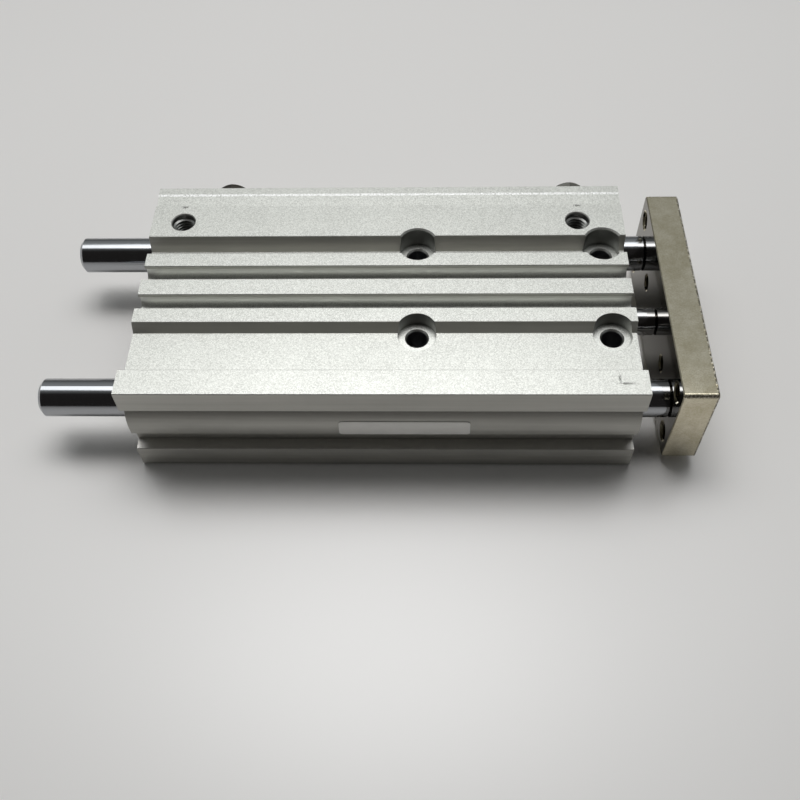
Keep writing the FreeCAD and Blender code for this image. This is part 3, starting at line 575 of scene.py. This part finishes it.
# Bright flecks at the edges: partly chips in the plating, partly painted glints.
chip_and_glint_tone = add_node(tree, "ShaderNodeMix", {"data_type": "RGBA", 7: linear("#fbf8ec")},
                     {0: chip_and_glint.outputs[0], 6: smear_tone.outputs[2]})
pit_tone = add_node(tree, "ShaderNodeMix", {"data_type": "RGBA", 7: linear("#4a4434")},
                    {0: dark_pit.outputs[0], 6: chip_and_glint_tone.outputs[2]})
ground = add_node(tree, "ShaderNodeMapRange", {"From Min": -0.8, "From Max": -0.95},
                  {"Value": facing.outputs[0]})
plate_tone = add_node(tree, "ShaderNodeMix", {"data_type": "RGBA", 7: linear("#625d54")},
                      {0: ground.outputs[0], 6: pit_tone.outputs[2]})
tree.links.new(plate_tone.outputs[2], shader.inputs["Base Color"])
face_gloss = add_node(tree, "ShaderNodeMapRange", {"To Min": 0.13, "To Max": 0.07},
                      {"Value": ground.outputs[0]})
edge_gloss = add_node(tree, "ShaderNodeMath", {"operation": "MULTIPLY_ADD", 1: 0.6},
                      {0: corner_round.outputs[0], 2: face_gloss.outputs[0]})
tree.links.new(edge_gloss.outputs[0], shader.inputs["Roughness"])
fleck_metallic = add_node(tree, "ShaderNodeMapRange", {"To Min": 1.0, "To Max": 0.3},
                      {"Value": chip_and_glint.outputs[0]})
tree.links.new(fleck_metallic.outputs[0], shader.inputs["Metallic"])
ripple = add_node(tree, "ShaderNodeTexNoise", {"Scale": 1 / 0.0012, "Detail": 2.0},
                  {"Vector": spot})
plate_bump = add_node(tree, "ShaderNodeBump", {"Distance": 0.000006, "Strength": 0.3},
                      {"Height": ripple.outputs[0]})
dents = add_node(tree, "ShaderNodeTexNoise", {"Scale": 1 / dent_size, "Detail": 2.0},
                 {"Vector": spot})
edge_bump = add_node(tree, "ShaderNodeBump", {"Distance": 0.00025},
                     {"Height": dents.outputs[0], "Strength": near_edge.outputs[0],
                      "Normal": plate_bump.outputs[0]})
tree.links.new(edge_bump.outputs[0], shader.inputs["Normal"])
dress(nickel, "plate")
put_copies(new_thread(*m4_size, plate_high.x - plate_low.x), "plate_thread",
           [(plate_low.x + 0.0004, y, z) for y in (-hole_line, hole_line) for z in hole_rows],
           (0, math.pi / 2, 0), nickel, "plate_and_rods")


# Guide rods of hard chrome plated carbon steel and a piston rod of stainless steel, all ground
# and polished. Grinding leaves slow ripples, seen in the glints, and fine marks round the rod,
# drawn 0.2 mm apart so that they show.
def ground_bar(name, colour, roughness):
    """A polished metal whose grinding marks run round an axis along X."""
    material, tree, shader = new_material(name, colour, 1.0, roughness)
    place = add_node(tree, "ShaderNodeTexCoord", {})
    fine_scale = add_node(tree, "ShaderNodeMapping", {"Scale": (5000, 150, 150)},
                          {"Vector": place.outputs["Object"]})
    fine = add_node(tree, "ShaderNodeTexNoise", {"Scale": 1.0, "Detail": 2.0},
                    {"Vector": fine_scale.outputs[0]})
    slow = add_node(tree, "ShaderNodeTexNoise", {"Scale": 1 / 0.0035, "Detail": 1.0},
                    {"Vector": place.outputs["Object"]})
    marks = add_node(tree, "ShaderNodeMath", {"operation": "MULTIPLY_ADD", 1: 0.04},
                     {0: fine.outputs[0], 2: slow.outputs[0]})
    relief = add_node(tree, "ShaderNodeBump", {"Distance": 0.00003, "Strength": 0.5},
                      {"Height": marks.outputs[0]})
    tree.links.new(relief.outputs[0], shader.inputs["Normal"])
    haze = add_node(tree, "ShaderNodeMapRange",
                    {"To Min": roughness * 0.6, "To Max": roughness * 1.4},
                    {"Value": fine.outputs[0]})
    tree.links.new(haze.outputs[0], shader.inputs["Roughness"])
    return material


dress(ground_bar("hard_chrome", "#a9abae", 0.13), "guide_rod_near", "guide_rod_far")
dress(ground_bar("stainless_rod", "#a8a8a8", 0.12), "piston_rod")


# Covers and piston: turned from aluminium bar on a lathe, which leaves fine rings about the
# axis of the bore, 0.15 mm apart.
feed_pitch = 0.00015
turned, tree, shader = new_material("turned_aluminium", "#c4c5c3", 1.0, 0.28)
place = add_node(tree, "ShaderNodeTexCoord", {})
from_bore = add_node(tree, "ShaderNodeVectorMath",
                     {"operation": "SUBTRACT", 1: (0, 0, axis_height)},
                     {0: place.outputs["Object"]})
across = add_node(tree, "ShaderNodeVectorMath", {"operation": "MULTIPLY", 1: (0, 1, 1)},
                  {0: from_bore.outputs[0]})
reach = add_node(tree, "ShaderNodeVectorMath", {"operation": "LENGTH"},
                 {0: across.outputs[0]})
along = add_node(tree, "ShaderNodeSeparateXYZ", {}, {0: place.outputs["Object"]})
feed = add_node(tree, "ShaderNodeMath", {"operation": "ADD"},
                {0: reach.outputs["Value"], 1: along.outputs[0]})
steps = add_node(tree, "ShaderNodeMath", {"operation": "MULTIPLY", 1: 1 / feed_pitch},
                 {0: feed.outputs[0]})
tool_marks = add_node(tree, "ShaderNodeTexNoise",
                      {"noise_dimensions": "1D", "Scale": 1.0, "Detail": 1.0},
                      {"W": steps.outputs[0]})
turned_gloss = add_node(tree, "ShaderNodeMapRange", {"To Min": 0.2, "To Max": 0.4},
                        {"Value": tool_marks.outputs[0]})
tree.links.new(turned_gloss.outputs[0], shader.inputs["Roughness"])
turned_bump = add_node(tree, "ShaderNodeBump", {"Distance": 0.000006, "Strength": 0.6},
                       {"Height": tool_marks.outputs[0]})
tree.links.new(turned_bump.outputs[0], shader.inputs["Normal"])
dress(turned, "rod_cover", "head_cover", "piston")


# Plugs, screws, rings, bearings and ball: small steel and bearing-metal parts. Each has a
# two-tone skin and a fine relief at the grain of its own finish.
def grained(name, dark, light, metallic, roughness, grain, relief_depth):
    """A finish of two tones with a relief at one grain size, in metres."""
    material, tree, shader = new_material(name, light, metallic, roughness)
    place = add_node(tree, "ShaderNodeTexCoord", {})
    noise = add_node(tree, "ShaderNodeTexNoise",
                     {"Scale": 1 / grain, "Detail": 3.0, "Roughness": 0.6},
                     {"Vector": place.outputs["Object"]})
    blotches = add_node(tree, "ShaderNodeTexNoise", {"Scale": 0.12 / grain, "Detail": 2.0},
                        {"Vector": place.outputs["Object"]})
    both = add_node(tree, "ShaderNodeMath", {"operation": "MULTIPLY"},
                    {0: noise.outputs[0], 1: blotches.outputs[0]})
    spread = add_node(tree, "ShaderNodeMapRange", {"From Min": 0.12, "From Max": 0.38},
                      {"Value": both.outputs[0]})
    tones = add_node(tree, "ShaderNodeMix",
                     {"data_type": "RGBA", 6: linear(dark), 7: linear(light)},
                     {0: spread.outputs[0]})
    tree.links.new(tones.outputs[2], shader.inputs["Base Color"])
    shine = add_node(tree, "ShaderNodeMapRange",
                     {"To Min": roughness * 1.25, "To Max": roughness * 0.8},
                     {"Value": spread.outputs[0]})
    tree.links.new(shine.outputs[0], shader.inputs["Roughness"])
    surface = add_node(tree, "ShaderNodeBump", {"Distance": relief_depth, "Strength": 0.6},
                       {"Height": noise.outputs[0]})
    tree.links.new(surface.outputs[0], shader.inputs["Normal"])
    return material


# The two port plugs are alike: the rear one is painted dark as painted shade, and the front
# one pale as painted light.
dress(grained("dark_plug_steel", "#4b4741", "#77736b", 1.0, 0.34, 0.0004, 0.00001),
      "port_plug_rear")
dress(grained("bright_plug_steel", "#98958d", "#bbb9b2", 1.0, 0.28, 0.0004, 0.000008),
      "port_plug_front")
dress(grained("black_oxide_steel", "#1c1c1e", "#3b3b3d", 1.0, 0.38, 0.0003, 0.000008),
      "plate_bolt", "guide_bolt_near", "guide_bolt_far")
dress(grained("phosphated_spring_steel", "#232324", "#3d3d3e", 1.0, 0.45, 0.0002, 0.000008),
      "rod_cover_ring", "head_cover_ring")
dress(grained("polished_ball_steel", "#a9a9aa", "#c8c8c9", 1.0, 0.12, 0.0004, 0.000002),
      "passage_ball")
dress(grained("bearing_bronze", "#8f6f3c", "#b99559", 1.0, 0.3, 0.0003, 0.000006),
      "slide_bearing_rear_near", "slide_bearing_rear_far",
      "slide_bearing_front_near", "slide_bearing_front_far")
dress(grained("sintered_magnet", "#2f2f31", "#49494b", 0.9, 0.5, 0.0002, 0.00001),
      "piston_magnet")

# Seals, bumpers, wipers and their holders: moulded rubber, urethane and resin, and oiled felt.
# They sit inside, and show only through the holes and when the part is taken apart.
dress(grained("nitrile_rubber", "#0f0f10", "#1d1d1e", 0.0, 0.55, 0.0003, 0.00001),
      "rod_cover_gasket", "head_cover_gasket", "rod_seal", "piston_seal",
      "plug_gasket_rear", "plug_gasket_front")
dress(grained("cast_urethane", "#7a5526", "#a0743a", 0.0, 0.4, 0.0005, 0.000008),
      "front_bumper", "rear_bumper")
dress(grained("oiled_felt", "#8d8676", "#c4bdab", 0.0, 0.95, 0.00025, 0.00006),
      "felt_wiper_near", "felt_wiper_far")
dress(grained("moulded_resin", "#141415", "#232324", 0.0, 0.48, 0.0004, 0.00001),
      "felt_holder_near", "felt_holder_far")
